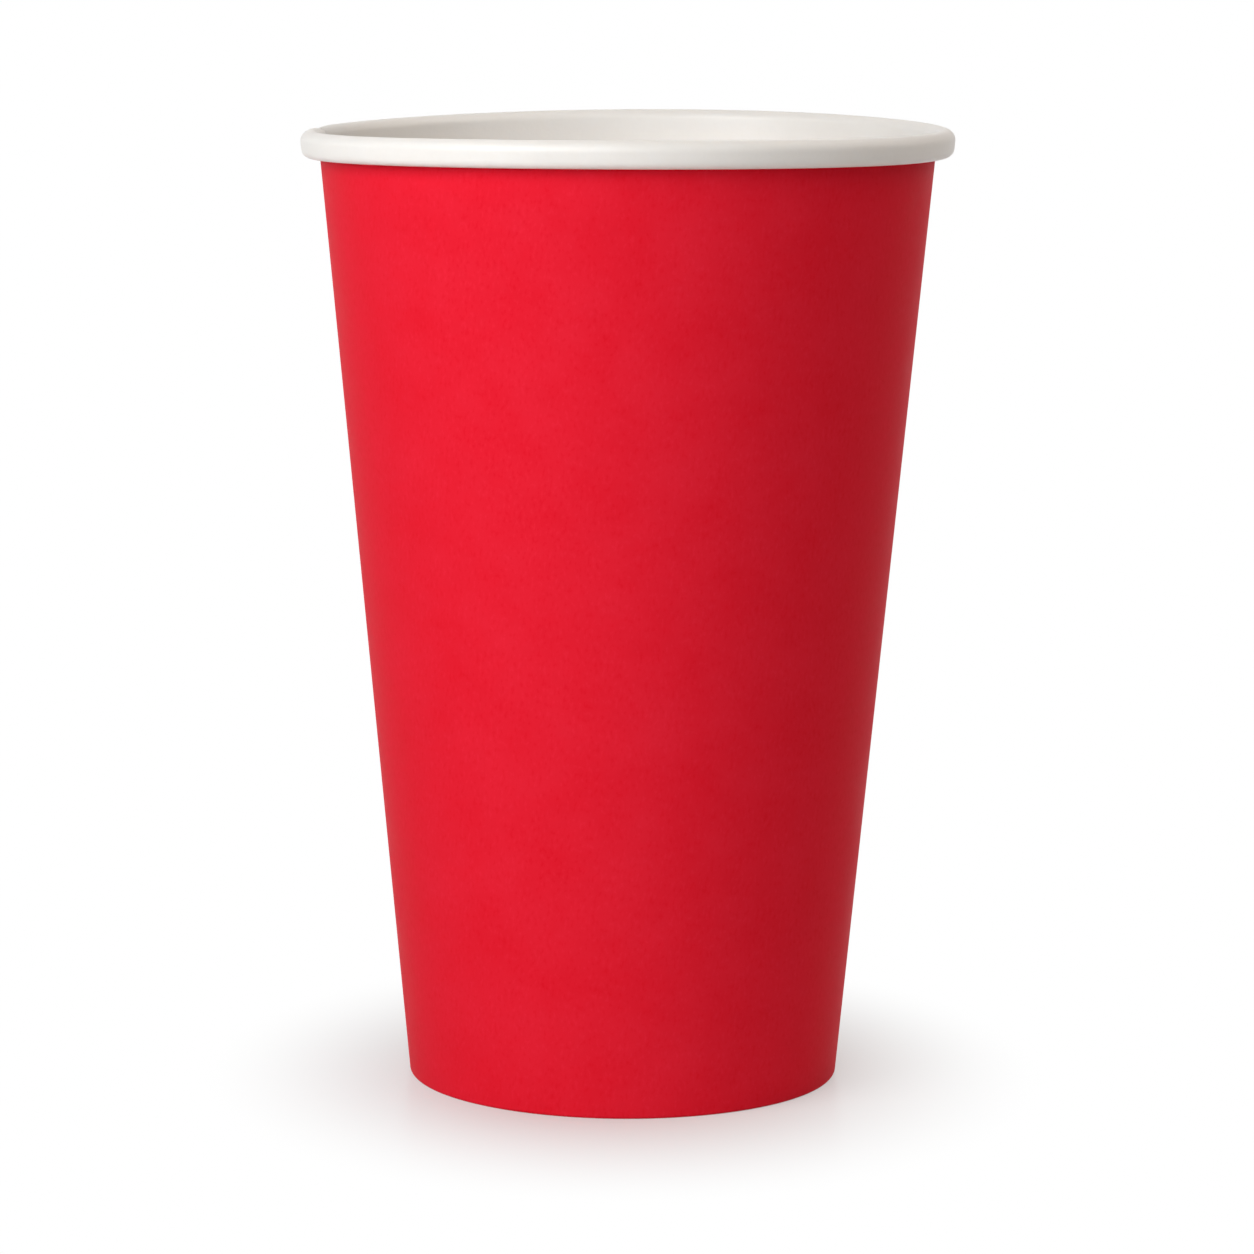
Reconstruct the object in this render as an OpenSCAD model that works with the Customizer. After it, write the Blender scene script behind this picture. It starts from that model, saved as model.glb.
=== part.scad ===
// Paper cup made of two pieces of coated board: a tapered wall, lapped and sealed
// along one side, with a rolled rim and a folded foot, and a base disc whose
// turned-down skirt is held in the fold of the foot.
// The cup stands on the XY plane with its axis on Z.

/* [Cup] */
// Height from the table to the top of the rolled rim
cup_h = 133; // [100:1:170]
// Diameter over the rolled rim
rim_d = 90; // [78:1:110]
// Diameter of the tapered wall where it meets the table
foot_d = 60; // [48:1:70]

/* [Board] */
// Thickness of the wall's board
wall_t = 0.4; // [0.3:0.05:0.5]
// Thickness of the base's board
base_t = 0.4; // [0.3:0.05:0.5]
// Thickness of the seal between the base's skirt and the wall
seal_gap = 0.02; // [0.01:0.01:0.04]

/* [Rolled rim] */
// Width of the roll, from the inside of the wall outwards
roll_w = 2.85; // [2.8:0.05:3.9]
// Height of the roll along the wall
roll_h = 3.7; // [3.5:0.1:5]
// Gap between the turns of the roll
roll_gap = 0.15; // [0.1:0.05:0.3]
// Angle of the last curl, inside the top of the roll
curl_angle = 70; // [30:5:90]

/* [Base and foot] */
// Height of the base's upper face above the table
base_h = 9; // [6:0.5:16]
// Outer radius of the bend from the base into its skirt
base_bend = 1; // [0.8:0.1:2]
// Height left free between the edge of the tucked wall and the base's bend
tuck_gap = 1; // [0.3:0.1:2]
// Depth by which the fold of the foot is pressed flat
foot_press = 0.1; // [0.05:0.05:0.2]

/* [Side seam] */
// Width of the lap where the wall is two layers thick
lap_w = 7.5; // [5:0.5:12]
// Width of the slope where the outer layer comes down beside the lap
ramp_w = 3; // [2:0.5:5]
// Direction of the seam round the cup, from the X axis
seam_angle = 165; // [0:5:355]

/* [Hidden] */
$fn = 96;

foot_r = foot_d / 2;
rim_r = rim_d / 2;

// The roll's top is a half circle that starts at the wall, so the wall's slope is
// the angle of the line from the foot that meets the circle's inner side.
roll_r = roll_w / 2;
roll_n = roll_r - wall_t;
roll_out = rim_r - roll_r - foot_r;
roll_up = cup_h - roll_r;
roll_reach = norm([roll_out, roll_up]);
slope = atan2(roll_out, roll_up) - asin(roll_n / roll_reach);

// Fold of the foot: the wall, the base's skirt and the tucked wall side by side,
// and how far up the wall the middle of the fold lies
fold_w = 2 * wall_t + base_t + 2 * seal_gap;
fold_r = fold_w / 2;
fold_lift = (fold_r - foot_press - fold_r * sin(slope)) / cos(slope);
wall_len = sqrt(roll_reach * roll_reach - roll_n * roll_n) - fold_lift;

// Lower half circle of the roll, its depth below the upper one, and the last curl
turn_r = (roll_w - wall_t - roll_gap) / 2;
turn_n = (roll_w - wall_t + roll_gap) / 2;
roll_drop = roll_h - roll_r - turn_r;
curl_r = roll_n - roll_gap;

// Base: centre of the bend into its skirt, length of the skirt and of the tucked wall
bend_n = -(wall_t + seal_gap + base_bend);
skirt_len = (base_h - base_bend + bend_n * sin(slope)) / cos(slope) - fold_lift;
tuck_len = skirt_len - tuck_gap;

// Slope of the outer layer beside the lap: a flat cut through the second layer that
// ends just inside the wall's outer face, even at the foot where the wall is roundest
ramp_start = lap_w / 2;
ramp_end = lap_w / 2 + ramp_w;
ramp_drop = wall_t + seal_gap + fall(ramp_end) - fall(ramp_start);
ramp_angle = atan2(ramp_drop, ramp_w);

// How far the round foot falls behind its tangent plane at a distance y from the seam
function fall(y) = foot_r - sqrt(foot_r * foot_r - y * y);

// Places a section drawn in wall coordinates: n goes outwards from the wall's outer
// face, and s goes up along it from the middle of the fold
module in_wall_frame() {
    translate([foot_r + fold_lift * sin(slope), fold_lift * cos(slope)]) rotate(-slope)
        children();
}

// Keeps what lies on or above the table and outside the axis
module above_table() {
    intersection() {
        children();
        square([rim_d, cup_h]);
    }
}

// Straight run of board of thickness t that starts at (n, s) and goes up by len
module run(n, s, len, t) {
    translate([n, s]) square([t, len]);
}

// Upper or lower half of a ring of board with outer radius r and thickness t
module half_ring(r, t, upper) {
    intersection() {
        difference() {
            circle(r);
            circle(r - t);
        }
        translate([-2 * r, upper ? 0 : -2 * r]) square([4 * r, 2 * r]);
    }
}

// The wall from the edge of the tuck, round the fold of the foot, up to the roll
module wall_section() {
    above_table() in_wall_frame() {
        run(-wall_t, 0, wall_len, wall_t);
        translate([-fold_r, 0]) half_ring(fold_r, wall_t, false);
        run(-fold_w, 0, tuck_len, wall_t);
    }
}

// The rolled rim: over the top, down the outside, back up inside and the last curl
module roll_section() {
    in_wall_frame() translate([0, wall_len]) {
        translate([roll_n, 0]) half_ring(roll_r, wall_t, true);
        run(roll_w - 2 * wall_t, -roll_drop, roll_drop, wall_t);
        translate([turn_n, -roll_drop]) half_ring(turn_r, wall_t, false);
        run(roll_gap, -roll_drop, roll_drop, wall_t);
        translate([roll_n, 0]) intersection() {
            half_ring(curl_r, wall_t, true);
            rotate(180 - curl_angle) translate([-2 * roll_r, 0]) square([4 * roll_r, 2 * roll_r]);
        }
    }
}

// The second layer of the lap, outside the wall, round the fold and inside the tuck
module lap_section() {
    above_table() in_wall_frame() {
        run(-wall_t / 2, 0, wall_len, 1.5 * wall_t);
        translate([-fold_r, 0]) half_ring(fold_r + wall_t, 1.5 * wall_t, false);
        run(-fold_w - wall_t, 0, tuck_len, 1.5 * wall_t);
    }
}

// Block inside the base's skirt and below its plate: a leg of length len and a slab,
// joined at the corner by a bend of radius r
module base_block(r, len) {
    circle(r);
    translate([-base_bend, -len]) square([base_bend + r, len]);
    rotate(slope) translate([-rim_r, -base_bend]) square([rim_r, base_bend + r]);
}

// The base's skirt, bend and plate: one such block less one that is a thickness smaller
module base_section() {
    above_table() in_wall_frame() translate([bend_n, skirt_len]) difference() {
        base_block(base_bend, skirt_len);
        base_block(base_bend - base_t, 2 * skirt_len);
    }
}

// Flat cut that brings the second layer down to the wall on one side of the lap
module ramp_cut() {
    rotate(seam_angle) translate([foot_r, 0, 0]) rotate([0, slope, 0])
        translate([wall_t - fall(ramp_start), ramp_start, -cup_h / 2]) rotate(ramp_angle)
            translate([0, -lap_w, 0]) cube([rim_r, 2 * lap_w, 2 * cup_h]);
}

// Second layer of board along the seam, with a cut edge on one side
module lap() {
    difference() {
        intersection() {
            rotate_extrude() lap_section();
            rotate(seam_angle) translate([0, -lap_w / 2, 0]) cube([rim_d, lap_w + ramp_w, cup_h]);
        }
        ramp_cut();
    }
}

module side_wall() {
    color("crimson") {
        rotate_extrude() wall_section();
        lap();
    }
    color("white") rotate_extrude() roll_section();
}

module base_disc() {
    color("whitesmoke") rotate_extrude() base_section();
}

side_wall();
base_disc();
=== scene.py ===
# %% [markdown]
# # A paper cup, wrapped from its two blanks
#
# A paper cup is two pieces of coated board. The wall is a fan-shaped blank, printed red on the
# outside and left white inside. It is wrapped round until its two ends lap, its top edge is
# rolled outwards and its bottom edge is folded in and up. The base is a round blank with its
# edge turned down, and the fold of the wall grips that edge.
#
# The frame holds both pieces as exact solids. Here each gets the finish of real board: this
# script wraps two thin sheets with numpy, one for each blank, and lights them on a white floor.

# %% Load the frame
import math

import bpy
import numpy as np
from mathutils import Matrix, Vector


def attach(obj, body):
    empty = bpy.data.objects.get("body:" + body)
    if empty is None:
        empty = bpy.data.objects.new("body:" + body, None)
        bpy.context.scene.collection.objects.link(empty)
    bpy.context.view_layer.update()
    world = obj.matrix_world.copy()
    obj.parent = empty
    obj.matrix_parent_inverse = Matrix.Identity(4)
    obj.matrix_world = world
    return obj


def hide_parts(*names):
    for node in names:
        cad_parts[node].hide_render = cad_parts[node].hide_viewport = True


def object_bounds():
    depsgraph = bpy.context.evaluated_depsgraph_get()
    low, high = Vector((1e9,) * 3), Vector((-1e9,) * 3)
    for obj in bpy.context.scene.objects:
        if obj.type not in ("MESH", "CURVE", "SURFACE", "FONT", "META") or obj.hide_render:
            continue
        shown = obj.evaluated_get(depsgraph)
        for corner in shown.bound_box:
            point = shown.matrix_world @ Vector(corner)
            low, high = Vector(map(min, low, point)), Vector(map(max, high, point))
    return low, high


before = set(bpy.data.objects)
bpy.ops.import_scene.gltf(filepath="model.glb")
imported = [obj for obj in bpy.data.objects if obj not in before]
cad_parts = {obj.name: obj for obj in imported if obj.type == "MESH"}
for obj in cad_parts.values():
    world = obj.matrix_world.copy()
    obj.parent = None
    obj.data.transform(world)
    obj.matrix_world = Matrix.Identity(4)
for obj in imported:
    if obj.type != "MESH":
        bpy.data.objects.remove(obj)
cad_box = [list(corner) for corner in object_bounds()]
print("Pieces in the frame:", sorted(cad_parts))
print("The solids reach from", cad_box[0], "to", cad_box[1])

# %% [markdown]
# ## The sizes that shape the board
#
# The overall height and the rim come from the frame, so the sheets fit the solids. The rest are
# the sizes of the forming tools: how thick the board is, how wide the roll is and how deep the
# base sits. Everything else follows from these, by the same geometry as the solids.

# %% Sizes of the cup and its board
mm = 0.001
cup_height = cad_box[1][2]
# Round edges reach the frame as short straight steps, so the radius is rounded to 0.1 mm.
rim_radius = round(cad_box[1][0], 4)
foot_radius = 30 * mm
board = 0.4 * mm
film = 0.02 * mm
roll_width = 2.85 * mm
roll_height = 3.7 * mm
roll_gap = 0.15 * mm
curl_angle = 70
foot_press = 0.1 * mm
base_height = 9 * mm
base_bend = 1 * mm
tuck_gap = 1 * mm
lap_width = 7.5 * mm
ramp_width = 3 * mm
seam_angle = math.radians(165)
print("Cup in mm:", round(cup_height / mm, 1), "high and", round(2 * rim_radius / mm, 1), "across the rim")

# %% [markdown]
# The roll's top is a half circle that starts at the wall. The wall's slope is therefore the
# angle of the line that leaves the foot and just touches that circle's inner side.

# %% Slope of the wall, and the middles of the fold and the roll
roll_radius = roll_width / 2
roll_n = roll_radius - board
roll_out = rim_radius - roll_radius - foot_radius
roll_up = cup_height - roll_radius
roll_reach = math.hypot(roll_out, roll_up)
slope = math.atan2(roll_out, roll_up) - math.asin(roll_n / roll_reach)
fold_width = 3 * board + 2 * film
fold_radius = fold_width / 2
fold_lift = (fold_radius - foot_press - fold_radius * math.sin(slope)) / math.cos(slope)
wall_length = math.sqrt(roll_reach**2 - roll_n**2) - fold_lift
turn_radius = (roll_width - board - roll_gap) / 2
turn_n = (roll_width - board + roll_gap) / 2
roll_drop = roll_height - roll_radius - turn_radius
bend_n = -(board + film + base_bend)
skirt_length = (base_height - base_bend + bend_n * math.sin(slope)) / math.cos(slope) - fold_lift
tuck_length = skirt_length - tuck_gap
print("Slope of the wall in degrees:", round(math.degrees(slope), 3))
print("Length of the wall between fold and roll in mm:", round(wall_length / mm, 2))

# %% [markdown]
# ## The camera
#
# The cup was looked at from a little above its rim with a long lens, from about 0.7 m away.
# The camera comes early, because everything else is judged through it. Its place was worked out
# from the ellipses of the rim and the foot, so it needs no fitting by eye.

# %% Camera at the viewing angle
camera_place = Vector((0.28, -687.4, 166.7)) * mm
camera_pitch = math.radians(8.580)
camera_roll = 0.0053
camera_lens = 142.87
camera_sensor = 36

camera_data = bpy.data.cameras.new("cup_camera")
camera_data.lens = camera_lens
camera_data.sensor_width = camera_sensor
camera = bpy.data.objects.new("cup_camera", camera_data)
tilt = Matrix.Rotation(math.pi / 2 - camera_pitch, 4, "X")
camera.matrix_world = Matrix.Translation(camera_place) @ tilt @ Matrix.Rotation(camera_roll, 4, "Z")
bpy.context.scene.collection.objects.link(camera)
bpy.context.scene.camera = camera
print("Camera stands", round(camera_place.length, 3), "m from the foot")

# %% [markdown]
# ## The section of the wall's board
#
# Cut the wall blank from top to bottom and its section is one long line: up the tuck, round the
# fold, up the wall, over the roll, and round again into the last curl. It could be drawn by
# hand, but legs and bends joined end to end keep the board's thickness true everywhere.
#
# A point of the section has two places, n outwards from the wall's outer face and s up along
# it. The line follows the white face. Each point also holds the way through the board, from
# white to print, so the printed face is found by going one thickness that way.


# %% Legs and bends of a section
def leg(start, stop, through, count):
    """Straight stretch: start plus t times (stop less start), with t in even steps from 0 to 1."""
    t = np.linspace(0, 1, count)[:, None]
    points = np.array(start) * (1 - t) + np.array(stop) * t
    return np.hstack([points, np.tile(through, (count, 1))])


def bend(centre, radius, first, last, outwards, count):
    """Round stretch: centre plus radius times (cos a, sin a), with a in degrees from first to last.

    The way through the board is along the radius, away from the centre when outwards is 1 and
    towards it when outwards is -1.
    """
    a = np.radians(np.linspace(first, last, count))
    ray = np.stack([np.cos(a), np.sin(a)], 1)
    return np.hstack([np.array(centre) + radius * ray, outwards * ray])


def join(stretches):
    """One section from stretches that meet end to end: the point that two share is kept once."""
    return np.vstack([part[:-1] for part in stretches[:-1]] + [stretches[-1]])


# %% Section of the wall from the tuck to the last curl
# Bends get more points than legs. The neck is the top of the wall, just below the roll.
tuck_n = board - fold_width
neck_length = 6 * mm
neck_foot = wall_length - neck_length
roll_middle = (roll_n, wall_length)
turn_middle = (turn_n, wall_length - roll_drop)
curl_radius = roll_n - roll_gap
run_n = roll_width - board
turn_top = wall_length - roll_drop
tuck = leg((tuck_n, tuck_length), (tuck_n, 0), through=(-1, 0), count=6)
fold = bend((-fold_radius, 0), fold_radius - board, first=180, last=360, outwards=1, count=15)
wall = leg((-board, 0), (-board, neck_foot), through=(1, 0), count=26)
neck = leg((-board, neck_foot), (-board, wall_length), through=(1, 0), count=8)
roll = [
    bend(roll_middle, roll_radius, first=180, last=0, outwards=-1, count=23),
    leg((run_n, wall_length), (run_n, turn_top), through=(-1, 0), count=3),
    bend(turn_middle, turn_radius, first=0, last=-180, outwards=-1, count=15),
    leg((roll_gap, turn_top), (roll_gap, wall_length), through=(1, 0), count=3),
    bend(roll_middle, curl_radius, first=180, last=180 - curl_angle, outwards=-1, count=7),
]
section = join([tuck, fold, wall, neck] + roll)
wall_row = len(join([tuck, fold])) - 1
roll_row = len(join([tuck, fold, wall, neck])) - 1
row = np.arange(len(section))[:, None]
steps = np.hypot(*np.diff(section[:, :2], axis=0).T)
path = np.concatenate([[0], np.cumsum(steps)])
print("Rows in the section:", len(section), "and its length in mm:", round(path[-1] / mm, 1))

# %% [markdown]
# ## From the section to a wrapped blank
#
# Wrapping turns n and s into a radius and a height. The blank goes a little more than once
# round. Its outer end lies on its inner end for the width of the lap, then comes down beside it
# over a short ramp. So the distance round the cup runs from half a lap before the seam to half
# a lap past it, one turn later, and the first stretch is lifted by one thickness.


# %% Radius and height of a point of the section
def radius_of(n, s):
    """Distance from the axis: the fold's middle, plus n across and s along the sloping wall."""
    return foot_radius + (fold_lift + s) * math.sin(slope) + n * math.cos(slope)


def height_of(n, s):
    """Height above the table: s along the sloping wall, less what n takes off."""
    return (fold_lift + s) * math.cos(slope) - n * math.sin(slope)


def smooth(x):
    """Eases from 0 to 1 while x goes from 0 to 1: three x squared less two x cubed."""
    x = np.clip(x, 0, 1)
    return x * x * (3 - 2 * x)


def ripple(count, turn):
    """Goes from 1 to 0 and back, count times a turn: half of one plus the cosine of count turns."""
    return 0.5 + 0.5 * np.cos(count * turn)


row_n, row_s, through_n, through_s = section.T
row_radius = radius_of(row_n, row_s)[:, None]
row_height = height_of(row_n, row_s)[:, None]
through_r = (through_n * math.cos(slope) + through_s * math.sin(slope))[:, None]
through_z = (through_s * math.cos(slope) - through_n * math.sin(slope))[:, None]
print("White face reaches", round(row_radius.max() / mm, 2), "mm from the axis")

# %% Distance round the cup for each column of the blank
lap_columns = 9
ramp_columns = 7
turn_columns = 440
lap_half = lap_width / 2
near_seam = np.concatenate([
    np.linspace(-lap_half, lap_half, lap_columns),
    np.linspace(lap_half, lap_half + ramp_width, ramp_columns)[1:],
])
share = np.linspace(0, 1, turn_columns)[None, 1:]
turn_start = lap_half + ramp_width
turn_stop = 2 * math.pi * row_radius + lap_half
around = np.hstack([
    np.tile(near_seam, (len(section), 1)),
    turn_start + share * (turn_stop - turn_start),
])
turned = around / row_radius
angle = seam_angle + turned
print("Columns round the cup:", around.shape[1])

# %% [markdown]
# Where two layers lie on each other the machine presses them. In the roll each layer is pressed
# to about six tenths of its thickness, and the inner end to a wedge, so the drinker's lip feels
# no step. At the foot both layers have to fit above the table.

# %% Thickness of the board in the lap
ease_width = 2 * mm
roll_pressed = 0.42
near_level = 0.01
past_lap = (around - lap_half) / ramp_width
outer_layer = 1 - smooth(past_lap)
from_inner_end = turn_stop - around
inner_layer = 1 - smooth((from_inner_end - lap_width) / ease_width)
doubled = np.maximum(outer_layer, inner_layer)
neck_share = smooth((row_s[:, None] - wall_length + neck_length) / ease_width)
in_roll = np.where(row > wall_row, neck_share, 0)
in_roll = np.where(row > roll_row, 1, in_roll)
thickness = board * (1 - roll_pressed * doubled * in_roll)
# How much board fits between a point and the table is the point's height, over how steeply the
# way through the board points down. Where that way is nearly level there is room enough.
room_below = row_height / np.maximum(-through_z, near_level)
thickness = np.minimum(thickness, (room_below - film * doubled) / (1 + doubled))
print("Thinnest board in the lap in mm:", round(thickness.min() / mm, 3))

# %% [markdown]
# The tuck is pressed against the base's skirt by a knurled wheel, which leaves fine upright ribs.
# They are pressed into the print's side of the board, and die out at both edges of the tuck.

# %% Ribs of the tuck, lift of the outer layer and wedge of the inner end
rib_count = 72
rib_depth = 0.09 * mm
rib_start = 0.6 * mm
rib_ease = 1.2 * mm
wedge_width = 4 * mm
wedge_share = 0.8
in_tuck = smooth((tuck_length - row_s) / rib_ease) * smooth((row_s - rib_start) / rib_ease)
in_tuck = np.where(row[:, 0] < len(tuck), in_tuck, 0)[:, None]
thickness = thickness - rib_depth * in_tuck * ripple(rib_count, turned)
lift = outer_layer * (thickness + film)
wedge = wedge_share * thickness * in_roll * (1 - smooth(from_inner_end / wedge_width))
print("Thinnest board under the ribs in mm:", round(thickness.min() / mm, 3))

# %% [markdown]
# ## A cup is never perfectly round
#
# The wrapped rim isn't quite level: it stands highest at the front and the back, and dips by four
# tenths of a millimetre at the right and by one millimetre at the left. Board also springs back
# unevenly, so the wall waves in and out by a few hundredths of a millimetre. One function holds
# both, and both pieces go through it, so the base still fits the wall.


# %% Small departures from a perfect cone
# All sizes here are in mm. A wave of the wall is its turns round the cup, its size, where it
# starts, and how far its start moves on from the table to the rim.
rim_sink = 0.35
rim_lean = 0.30
rim_bow = 0.345
rim_twist = 0.108
wall_waves = ((3, 0.035, 1.0, 2), (5, 0.02, 2.6, -3), (8, 0.012, 0.4, 5))
foot_share = 0.3


def settle(radius, around_angle, height):
    """Places points given as radius, angle and height, as x, y and z.

    The height gains waves of one and two turns that grow with the square of the height above
    the table. The radius gains the sum of the wall's waves, each its size times the sine of its
    turns, which grows evenly from the foot's share at the table to the whole at the rim.
    """
    up = height / cup_height
    side = around_angle + math.pi / 2
    rise = rim_lean * np.sin(side) + rim_bow * np.cos(2 * side) - rim_twist * np.sin(2 * side) - rim_sink
    wave = sum(size * np.sin(turns * side + start + climb * up) for turns, size, start, climb in wall_waves)
    settled = radius + wave * mm * (foot_share + (1 - foot_share) * up)
    raised = height + rise * mm * up * up
    return np.stack([settled * np.cos(around_angle), settled * np.sin(around_angle), raised], -1)


# %% White and printed face of the wall
shallow = lift + wedge
white_face = settle(row_radius + shallow * through_r, angle, row_height + shallow * through_z)
deep = lift + thickness
printed_face = settle(row_radius + deep * through_r, angle, row_height + deep * through_z)
print("Highest point of the rim in mm:", round(white_face[..., 2].max() / mm, 2))

# %% [markdown]
# ## A grid of points becomes a sheet
#
# A sheet of board has two broad faces and four cut edges. All six share their corner points, so
# the mesh is closed, and the edges between them are marked sharp, so the light breaks there as
# on a real cut. Each kind of face has its own material: print, white coating or bare cut board.


# %% Faces of a wrapped sheet
def quads(*corners):
    """Four-sided faces from four arrays of point numbers, read in step."""
    return np.stack([corner.ravel() for corner in corners], 1)


def sheet_faces(rows, columns):
    """Faces of an open sheet: printed, white, and cut. The inner end's edge is sealed by the film.

    Point (row, column) of the white face has number row times columns plus column. The printed
    face's points follow in the same order.
    """
    white = np.arange(rows * columns).reshape(rows, columns)
    red = white + rows * columns
    inner_end = quads(red[1:, -1], red[:-1, -1], white[:-1, -1], white[1:, -1])
    return [
        quads(red[:-1, :-1], red[:-1, 1:], red[1:, 1:], red[1:, :-1]),
        np.vstack([quads(white[:-1, :-1], white[1:, :-1], white[1:, 1:], white[:-1, 1:]), inner_end]),
        np.vstack([
            quads(red[0, 1:], red[0, :-1], white[0, :-1], white[0, 1:]),
            quads(red[-1, :-1], red[-1, 1:], white[-1, 1:], white[-1, :-1]),
            quads(red[:-1, 0], red[1:, 0], white[1:, 0], white[:-1, 0]),
        ]),
    ]


# %% A mesh object from points and faces
def make_piece(name, points, face_groups, corners, cut_points):
    """A mesh object from points and groups of faces: the number of its group is a face's material.

    corners holds one UV place for each point. Edges that join two points of cut_points on the
    same broad face are sharp.
    """
    mesh = bpy.data.meshes.new(name)
    faces = [face for group in face_groups for face in group.tolist()]
    mesh.from_pydata(points.tolist(), [], faces)
    kinds = np.concatenate([np.full(len(group), k) for k, group in enumerate(face_groups)])
    mesh.polygons.foreach_set("material_index", kinds.astype(np.int32))
    mesh.polygons.foreach_set("use_smooth", np.ones(len(faces), bool))
    ends = np.empty(len(mesh.edges) * 2, np.int32)
    mesh.edges.foreach_get("vertices", ends)
    ends = ends.reshape(-1, 2)
    half = len(points) // 2
    sharp = cut_points[ends].all(1) & ((ends < half).all(1) | (ends >= half).all(1))
    mesh.edges.foreach_set("use_edge_sharp", sharp)
    used = np.empty(len(mesh.loops), np.int32)
    mesh.loops.foreach_get("vertex_index", used)
    layer = mesh.uv_layers.new(name="blank")
    layer.data.foreach_set("uv", corners[used].ravel())
    mesh.update()
    piece = bpy.data.objects.new(name, mesh)
    bpy.context.scene.collection.objects.link(piece)
    print(name, "has", sum(len(f) - 2 for f in faces), "triangles")
    return piece


# %% [markdown]
# ## The flat blank as a map
#
# Unwrapped, the wall is a fan cut from a flat sheet. The map of the piece is that flat fan, so
# the fibres of the board all run one way across the flat blank and lean with it round the cup, as
# they do in real board. The fan's middle is the tip of the cone that the wall is a part of.

# %% Flat places of the blank
blank_span = 0.3
map_middle = 0.5
fan_radius = foot_radius / math.sin(slope) + (path - path[wall_row])[:, None]
fan_angle = (turned - turned.mean(1, keepdims=True)) * math.sin(slope)
flat_x = fan_radius * np.sin(fan_angle) / blank_span + map_middle
flat_y = (fan_radius * np.cos(fan_angle) - fan_radius.min()) / blank_span
flat = np.stack([flat_x, flat_y], -1).reshape(-1, 2)
print("The flat blank fills", flat.min(0).round(2), "to", flat.max(0).round(2), "of its map")

# %% Wrap the wall
rows, columns = angle.shape
on_cut = np.zeros((rows, columns), bool)
on_cut[[0, -1], :] = True
on_cut[:, [0, -1]] = True
cup_wall = make_piece(
    "cup_wall",
    np.vstack([white_face.reshape(-1, 3), printed_face.reshape(-1, 3)]),
    sheet_faces(rows, columns),
    np.vstack([flat, flat]),
    np.tile(on_cut.ravel(), 2),
)

# %% [markdown]
# ## The base
#
# The base blank is a disc whose edge is pressed down round a ring. Its flat middle is drawn a
# quarter of a millimetre down as it dries. The board has to shorten at the skirt, so it gathers
# in tiny pleats at the bend. The same legs and bends make the section, from the middle outwards.

# %% Section of the base from its middle to the skirt's edge
bend_radius_at = radius_of(bend_n, skirt_length)
bend_height_at = height_of(bend_n, skirt_length)
plate_top = bend_height_at + base_bend
plate = leg((0, plate_top), (bend_radius_at, plate_top), through=(0, -1), count=15)[1:]
bend_middle = (bend_radius_at, bend_height_at)
edge = bend(bend_middle, base_bend, first=90, last=-math.degrees(slope), outwards=-1, count=11)
edge_point = edge[-1, :2]
skirt_foot = (radius_of(-board - film, 0), height_of(-board - film, 0))
skirt = leg(edge_point, skirt_foot, through=edge[-1, 2:], count=7)
base_section = join([plate, edge, skirt])
print("Rows in the base's section:", len(base_section))

# %% Upper and lower face of the base
base_columns = 288
pleat_count = 96
pleat_height = 0.03 * mm
pleat_reach = 1.2 * mm
dish_depth = 0.25 * mm
base_turn = np.linspace(0, 2 * math.pi, base_columns, endpoint=False)[None, :]
base_r, base_z, inward_r, inward_z = [column[:, None] for column in base_section.T]
dish = -dish_depth * (1 - smooth(base_r / bend_radius_at))
from_bend = np.abs(base_r - bend_radius_at - base_bend / 2) / pleat_reach
pleat = pleat_height * (1 - smooth(from_bend)) * ripple(pleat_count, base_turn)
pleat = pleat * (base_z > bend_height_at)
upper = settle(base_r + pleat * inward_r, base_turn, base_z + dish + pleat * inward_z)
below_r = base_r + (board + pleat) * inward_r
below_z = base_z + dish + (board + pleat) * inward_z
lower = settle(below_r, base_turn, below_z)
print("Base stands", round(base_z.max() / mm, 2), "mm above the table")


# %% Faces of the base, with a closed middle
def disc_faces(rings, columns, middle):
    """Faces of a round blank: its two broad faces, its cut edge, and a fan at each middle.

    The upper rings' points come first, then the upper middle, whose number is middle. The lower
    rings' points and the lower middle follow in the same order.
    """
    top = np.arange(rings * columns).reshape(rings, columns)
    under = top + middle + 1
    top_next, under_next = np.roll(top, -1, 1), np.roll(under, -1, 1)
    broad = np.vstack([
        quads(top[:-1], top[1:], top_next[1:], top_next[:-1]),
        quads(under[:-1], under_next[:-1], under_next[1:], under[1:]),
    ])
    cut = quads(top_next[-1], top[-1], under[-1], under_next[-1])
    upper_middle = np.full(columns, middle)
    lower_middle = upper_middle + middle + 1
    fans = np.vstack([
        np.stack([upper_middle, top[0], top_next[0]], 1),
        np.stack([lower_middle, under_next[0], under[0]], 1),
    ])
    return [broad, cut, fans]


# %% Press the base
rings = len(base_section)
middle_height = base_z[0, 0] - dish_depth
upper_points = np.vstack([upper.reshape(-1, 3), [[0, 0, middle_height]]])
lower_points = np.vstack([lower.reshape(-1, 3), [[0, 0, middle_height - board]]])
base_points = np.vstack([upper_points, lower_points])
on_base_cut = np.zeros(len(upper_points), bool)
on_base_cut[(rings - 1) * base_columns : rings * base_columns] = True
cup_base = make_piece(
    "cup_base",
    base_points,
    disc_faces(rings, base_columns, rings * base_columns),
    base_points[:, :2] / blank_span + map_middle,
    np.tile(on_base_cut, 2),
)

# %% [markdown]
# ## What board looks like from close by
#
# Cup board is pressed from wood fibres. Under print or film it shows three things: soft clouds a
# centimetre wide, where the sheet is a little denser; sparse flecks half a millimetre long, where
# single fibres lie just under the print; and a fine peel that breaks up a highlight. All finishes
# of the cup need them, so they are one node group, which every material reads by its own strength.


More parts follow.
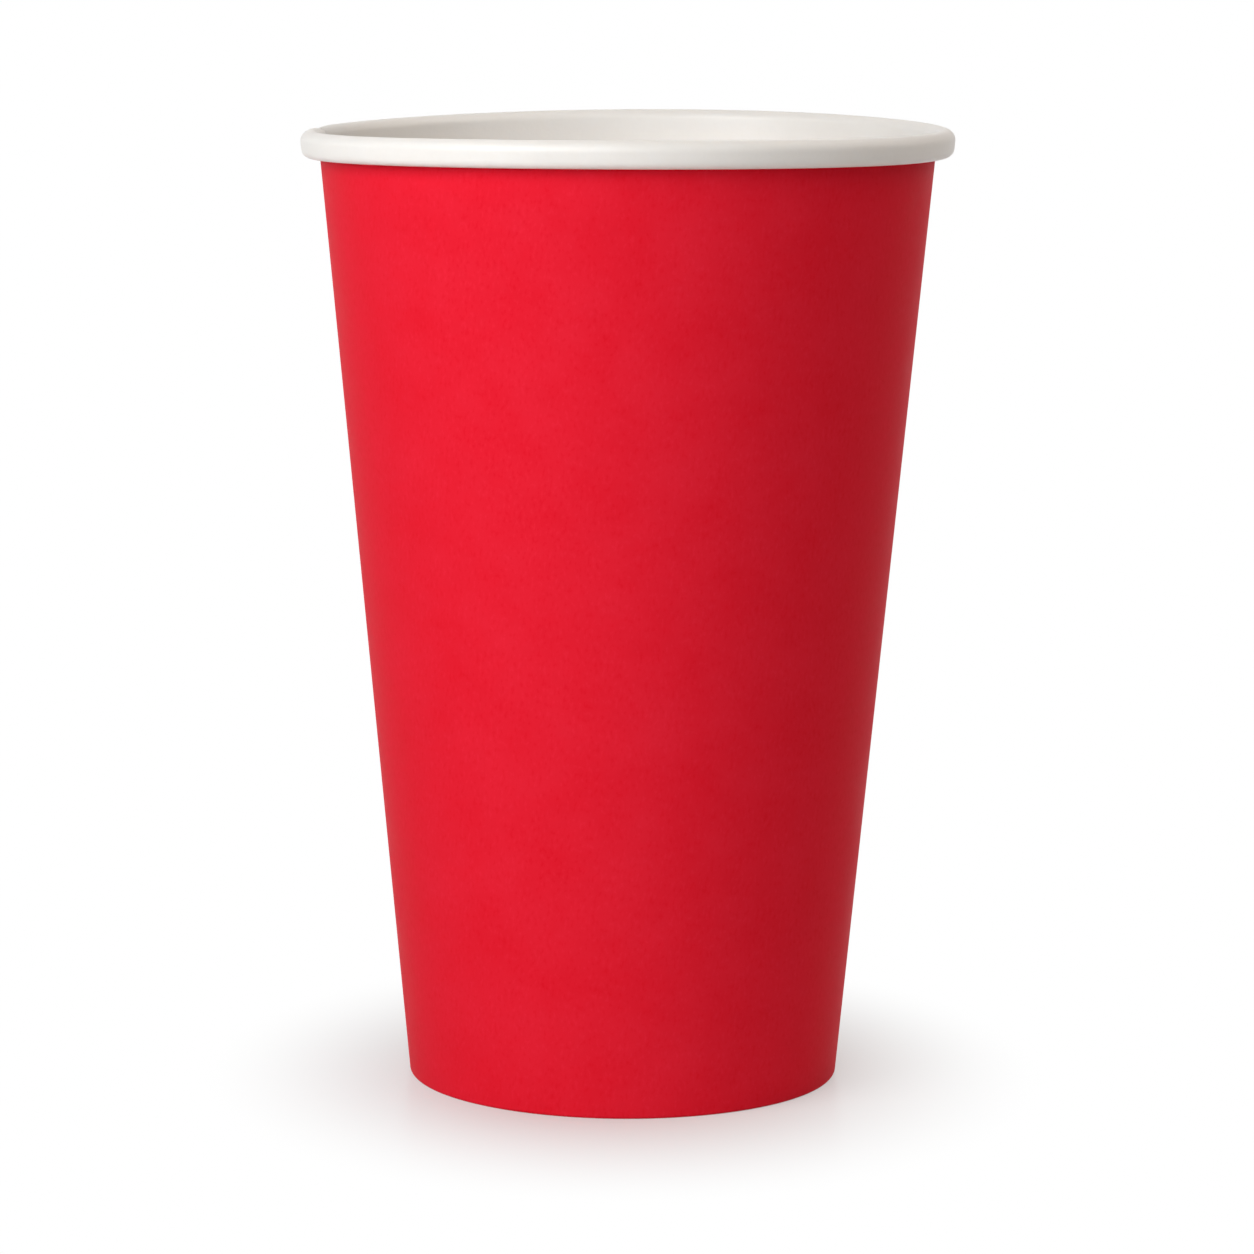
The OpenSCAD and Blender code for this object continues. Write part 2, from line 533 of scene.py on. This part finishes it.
# %% Node helpers
def put(tree, kind, inputs=None, **settings):
    """Adds a node. A socket given as an input is linked to it, and other values are set on it."""
    node = tree.nodes.new(kind)
    for name, value in settings.items():
        setattr(node, name, value)
    for name, value in (inputs or {}).items():
        if isinstance(value, bpy.types.NodeSocket):
            tree.links.new(value, node.inputs[name])
        else:
            node.inputs[name].default_value = value
    return node


def noise(tree, vector, scale, detail, roughness=0.5):
    """Soft noise between about 0.3 and 0.7, with scale as its number of cells in a metre."""
    inputs = {"Vector": vector, "Scale": scale, "Detail": detail, "Roughness": roughness}
    return put(tree, "ShaderNodeTexNoise", inputs).outputs["Fac"]


def spread(tree, value, low, high):
    """Stretches a value so that low becomes 0 and high becomes 1."""
    inputs = {"Value": value, "From Min": low, "From Max": high}
    return put(tree, "ShaderNodeMapRange", inputs).outputs["Result"]


# %% Board grain group
cloud_cells = 110
fleck_cells = 1900
peel_cells = 1900
fibre_stretch = (1.0, 0.55, 1.0)
cloud_span = (0.33, 0.67)
light_span = (0.57, 0.67)
dark_span = (0.43, 0.33)
peel_span = (0.3, 0.7)
grain = bpy.data.node_groups.new("board_grain", "ShaderNodeTree")
grain.interface.new_socket("Place", in_out="INPUT", socket_type="NodeSocketVector")
for name in ("Cloud", "Fleck", "Peel"):
    grain.interface.new_socket(name, in_out="OUTPUT", socket_type="NodeSocketFloat")
place = grain.nodes.new("NodeGroupInput").outputs["Place"]
along = put(grain, "ShaderNodeMapping", {"Vector": place, "Scale": fibre_stretch}).outputs[0]
cloud = spread(grain, noise(grain, place, cloud_cells, detail=4, roughness=0.7), *cloud_span)
peel = spread(grain, noise(grain, place, peel_cells, detail=3, roughness=0.55), *peel_span)
single = noise(grain, along, fleck_cells, detail=2)
light_fleck = spread(grain, single, *light_span)
dark_fleck = spread(grain, single, *dark_span)
fleck = put(grain, "ShaderNodeMath", {0: light_fleck, 1: dark_fleck}, operation="SUBTRACT").outputs[0]
fleck = spread(grain, fleck, -1, 1)
shown = put(grain, "NodeGroupOutput", {"Cloud": cloud, "Fleck": fleck, "Peel": peel})
print("Board grain gives", [socket.name for socket in shown.inputs if socket.name])

# %% [markdown]
# ## Three finishes
#
# The print is a satin red ink, which hides the board but not its peel. The white side has a thin
# film, whiter and a little smoother. A cut edge shows bare fibres. Only what varies over the
# surface comes from the group. The gloss itself, one number all over, stays on the shader.


# %% Finish helper
white = (1, 1, 1, 1)
rough_span = 0.08
peel_height = 0.03 * mm
glow_depth = 1.2 * mm
glow_spread = (1.0, 0.9, 0.8)


def board_finish(name, place_by, pale, deep, flecks, rough, bump, specular, tint=white, glow=0.0):
    """Principled material of board: pale and deep colours mixed by the clouds and flecks.

    place_by is "blank" for the flat map of the wall, or "object" for places in the frame. flecks
    is the flecks' share of the mix. The numbers in the Mix nodes' inputs are those of their
    sockets, because several of them have the same name.
    """
    material = bpy.data.materials.new(name)
    material.use_nodes = True
    tree = material.node_tree
    tree.nodes.clear()
    if place_by == "blank":
        flat_map = put(tree, "ShaderNodeUVMap", uv_map="blank").outputs["UV"]
        scale = {"Vector": flat_map, "Scale": (blank_span, blank_span, blank_span)}
        place = put(tree, "ShaderNodeMapping", scale).outputs[0]
    else:
        place = put(tree, "ShaderNodeTexCoord").outputs["Object"]
    marks = put(tree, "ShaderNodeGroup", node_tree=grain)
    tree.links.new(place, marks.inputs["Place"])
    both = {0: flecks, 2: marks.outputs["Cloud"], 3: marks.outputs["Fleck"]}
    mixed = put(tree, "ShaderNodeMix", both).outputs[0]
    colour = put(tree, "ShaderNodeMix", {0: mixed, 6: deep, 7: pale}, data_type="RGBA")
    uneven = {"Value": marks.outputs["Cloud"], "To Min": rough, "To Max": rough + rough_span}
    roughness = put(tree, "ShaderNodeMapRange", uneven).outputs["Result"]
    height = {"Height": marks.outputs["Peel"], "Strength": bump, "Distance": peel_height}
    normal = put(tree, "ShaderNodeBump", height).outputs["Normal"]
    shader = put(tree, "ShaderNodeBsdfPrincipled", {
        "Base Color": colour.outputs[2],
        "Roughness": roughness,
        "Normal": normal,
        "Specular IOR Level": specular,
        "Specular Tint": tint,
        "Subsurface Weight": glow,
        "Subsurface Radius": glow_spread,
        "Subsurface Scale": glow_depth,
    })
    put(tree, "ShaderNodeOutputMaterial", {"Surface": shader.outputs[0]})
    return material


# %% Printed red, white film and cut board
red_pale = (0.765, 0.0190, 0.0410, 1)
red_deep = (0.712, 0.0075, 0.0200, 1)
white_pale = (0.868, 0.838, 0.795, 1)
white_deep = (0.845, 0.811, 0.765, 1)
cut_pale = (0.88, 0.855, 0.81, 1)
cut_deep = (0.80, 0.765, 0.70, 1)
red_sheen = (1, 0.15, 0.25, 1)
ink = {"flecks": 0.6, "rough": 0.52, "bump": 0.22, "specular": 0.04, "tint": red_sheen}
coat = {"flecks": 0.3, "rough": 0.34, "bump": 0.2, "specular": 0.5}
fibres = {"flecks": 0.7, "rough": 0.85, "bump": 0.8, "specular": 0.2}
printed_red = board_finish("printed_red", "blank", red_pale, red_deep, **ink)
white_film = board_finish("white_film", "blank", white_pale, white_deep, **coat, glow=0.4)
cut_board = board_finish("cut_board", "blank", cut_pale, cut_deep, **fibres)
base_film = board_finish("base_film", "object", white_pale, white_deep, **coat)
base_cut = board_finish("base_cut", "object", cut_pale, cut_deep, **fibres)
for material in (printed_red, white_film, cut_board):
    cup_wall.data.materials.append(material)
# The base's groups of faces are its broad faces, its cut edge and the fans at its two middles.
for material in (base_film, base_cut, base_film):
    cup_base.data.materials.append(material)
print("Finishes:", [material.name for material in bpy.data.materials])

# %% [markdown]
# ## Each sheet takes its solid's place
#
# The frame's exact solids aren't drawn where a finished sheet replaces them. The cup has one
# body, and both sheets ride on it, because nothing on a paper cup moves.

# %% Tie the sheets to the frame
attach(cup_wall, "root")
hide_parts("side_wall")
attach(cup_base, "root")
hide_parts("base_disc")
print("Both sheets ride on the cup's one body")

# %% [markdown]
# ## The white floor
#
# The floor has to look pure white, and yet keep the cup's soft shadow and its faint reflection.
# A stronger lamp would also bleach the cup. So near the cup the floor is matt with a little
# gloss, and over an oval round the foot it eases into a pure white glow. Light that bounces off
# the floor onto the cup meets plain pale matt instead. The floor lies a hair below the foot, so
# that the two don't share a plane.

# %% Floor disc
floor_radius = 12.0
floor_drop = 0.02 * mm
floor_corners = 96
floor_turn = np.linspace(0, 2 * math.pi, floor_corners, endpoint=False)
floor_x, floor_y = floor_radius * np.cos(floor_turn), floor_radius * np.sin(floor_turn)
floor_ring = np.stack([floor_x, floor_y, np.full(floor_corners, -floor_drop)], 1)
floor_mesh = bpy.data.meshes.new("floor")
floor_mesh.from_pydata(floor_ring.tolist(), [], [list(range(floor_corners))])
floor = bpy.data.objects.new("floor", floor_mesh)
bpy.context.scene.collection.objects.link(floor)
print("Floor lies", floor_drop / mm, "mm below the foot")

# %% Floor paint with a soft shadow
white_glow = 1.0
floor_matt = 0.60
floor_gloss = 0.125
floor_rough = 0.25
floor_oval = 0.80
fade_start = 0.004
fade_end = 0.060
floor_pale = 0.72
floor_paint = bpy.data.materials.new("white_floor")
floor_paint.use_nodes = True
tree = floor_paint.node_tree
tree.nodes.clear()
spot = put(tree, "ShaderNodeTexCoord").outputs["Object"]
oval = put(tree, "ShaderNodeMapping", {"Vector": spot, "Scale": (1, floor_oval, 1)}).outputs[0]
away = put(tree, "ShaderNodeVectorMath", {0: oval}, operation="LENGTH").outputs["Value"]
fade = {"Value": away, "From Min": fade_start, "From Max": fade_end}
open_floor = put(tree, "ShaderNodeMapRange", fade, interpolation_type="SMOOTHSTEP").outputs["Result"]
matt = put(tree, "ShaderNodeBsdfDiffuse", {"Color": (floor_matt, floor_matt, floor_matt, 1)}).outputs[0]
mirror = {"Color": (floor_gloss, floor_gloss, floor_gloss, 1), "Roughness": floor_rough}
gloss = put(tree, "ShaderNodeBsdfAnisotropic", mirror).outputs[0]
near = put(tree, "ShaderNodeAddShader", {0: matt, 1: gloss}).outputs[0]
far = put(tree, "ShaderNodeEmission", {"Strength": white_glow}).outputs[0]
looked_at = put(tree, "ShaderNodeMixShader", {0: open_floor, 1: near, 2: far}).outputs[0]
plain = put(tree, "ShaderNodeBsdfDiffuse", {"Color": (floor_pale, floor_pale, floor_pale, 1)}).outputs[0]


# %% Which rays see the white floor
def seen_rays(tree):
    """1 for rays from the camera, and for those seen in a gloss or through glass, else 0."""
    rays = put(tree, "ShaderNodeLightPath").outputs
    mirrored = {0: rays["Is Glossy Ray"], 1: rays["Is Transmission Ray"]}
    either = put(tree, "ShaderNodeMath", mirrored, operation="MAXIMUM").outputs[0]
    both = {0: rays["Is Camera Ray"], 1: either}
    return put(tree, "ShaderNodeMath", both, operation="MAXIMUM").outputs[0]


floor_shader = put(tree, "ShaderNodeMixShader", {0: seen_rays(tree), 1: plain, 2: looked_at})
put(tree, "ShaderNodeOutputMaterial", {"Surface": floor_shader.outputs[0]})
floor.data.materials.append(floor_paint)
print("Shadow fades out by", fade_end / mm, "mm from the cup's axis")

# %% [markdown]
# ## The light
#
# The cup was lit softly from several sides. A small lamp at the left makes the bright band on the
# left of the wall, and a larger one lights the front. Three large, warm ones at the right and at
# the back light the right side of the wall, the inside and the back of the rim. How strong each
# lamp is was found by a render with that lamp alone, because the light of lamps adds up. The
# world adds the light of a white room from all sides, and shows as pure white behind the cup.

# %% Room light
room_light = 0.04
room_tint = (1.0, 0.93, 0.87, 1)
world = bpy.data.worlds.new("white_room")
world.use_nodes = True
tree = world.node_tree
tree.nodes.clear()
room = put(tree, "ShaderNodeBackground", {"Color": room_tint, "Strength": room_light}).outputs[0]
backdrop = put(tree, "ShaderNodeBackground", {"Color": white, "Strength": white_glow}).outputs[0]
seen = put(tree, "ShaderNodeMixShader", {0: seen_rays(tree), 1: room, 2: backdrop}).outputs[0]
put(tree, "ShaderNodeOutputWorld", {"Surface": seen})
bpy.context.scene.world = world
print("Room light has strength", room_light)


# %% Soft lamps
def soft_lamp(name, side, up, far, width, height, power, tint=(1, 1, 1)):
    """Area lamp that faces the cup's middle, far metres away from it.

    It stands side degrees round from the front, to the right, and up degrees high.
    """
    side, up = math.radians(side), math.radians(up)
    data = bpy.data.lights.new(name, "AREA")
    data.shape = "RECTANGLE"
    data.size = width
    data.size_y = height
    data.energy = power
    data.color = tint
    towards = Vector((math.sin(side) * math.cos(up), -math.cos(side) * math.cos(up), math.sin(up)))
    lamp = bpy.data.objects.new(name, data)
    lamp.location = Vector((0, 0, cup_height / 2)) + towards * far
    lamp.rotation_euler = towards.to_track_quat("Z", "Y").to_euler()
    lamp.visible_camera = False
    bpy.context.scene.collection.objects.link(lamp)
    print(name, "stands at", [round(c, 2) for c in lamp.location], "with", power, "W")


warm = (1.0, 0.88, 0.78)
soft_lamp("side_lamp", side=-48, up=28, far=0.5, width=0.25, height=0.35, power=1.49)
soft_lamp("front_lamp", side=-15, up=25, far=0.8, width=0.5, height=0.5, power=2.38)
soft_lamp("right_lamp", side=75, up=50, far=0.9, width=0.7, height=0.7, power=1.30, tint=warm)
soft_lamp("edge_lamp", side=115, up=39, far=0.9, width=0.7, height=0.7, power=1.75, tint=warm)
soft_lamp("back_lamp", side=180, up=50, far=0.9, width=0.7, height=0.7, power=0.8, tint=warm)

# %% [markdown]
# ## The view
#
# The plain Standard view shows each colour about as it is written.

# %% View settings
bpy.context.scene.view_settings.view_transform = "Standard"
print("View transform:", bpy.context.scene.view_settings.view_transform)
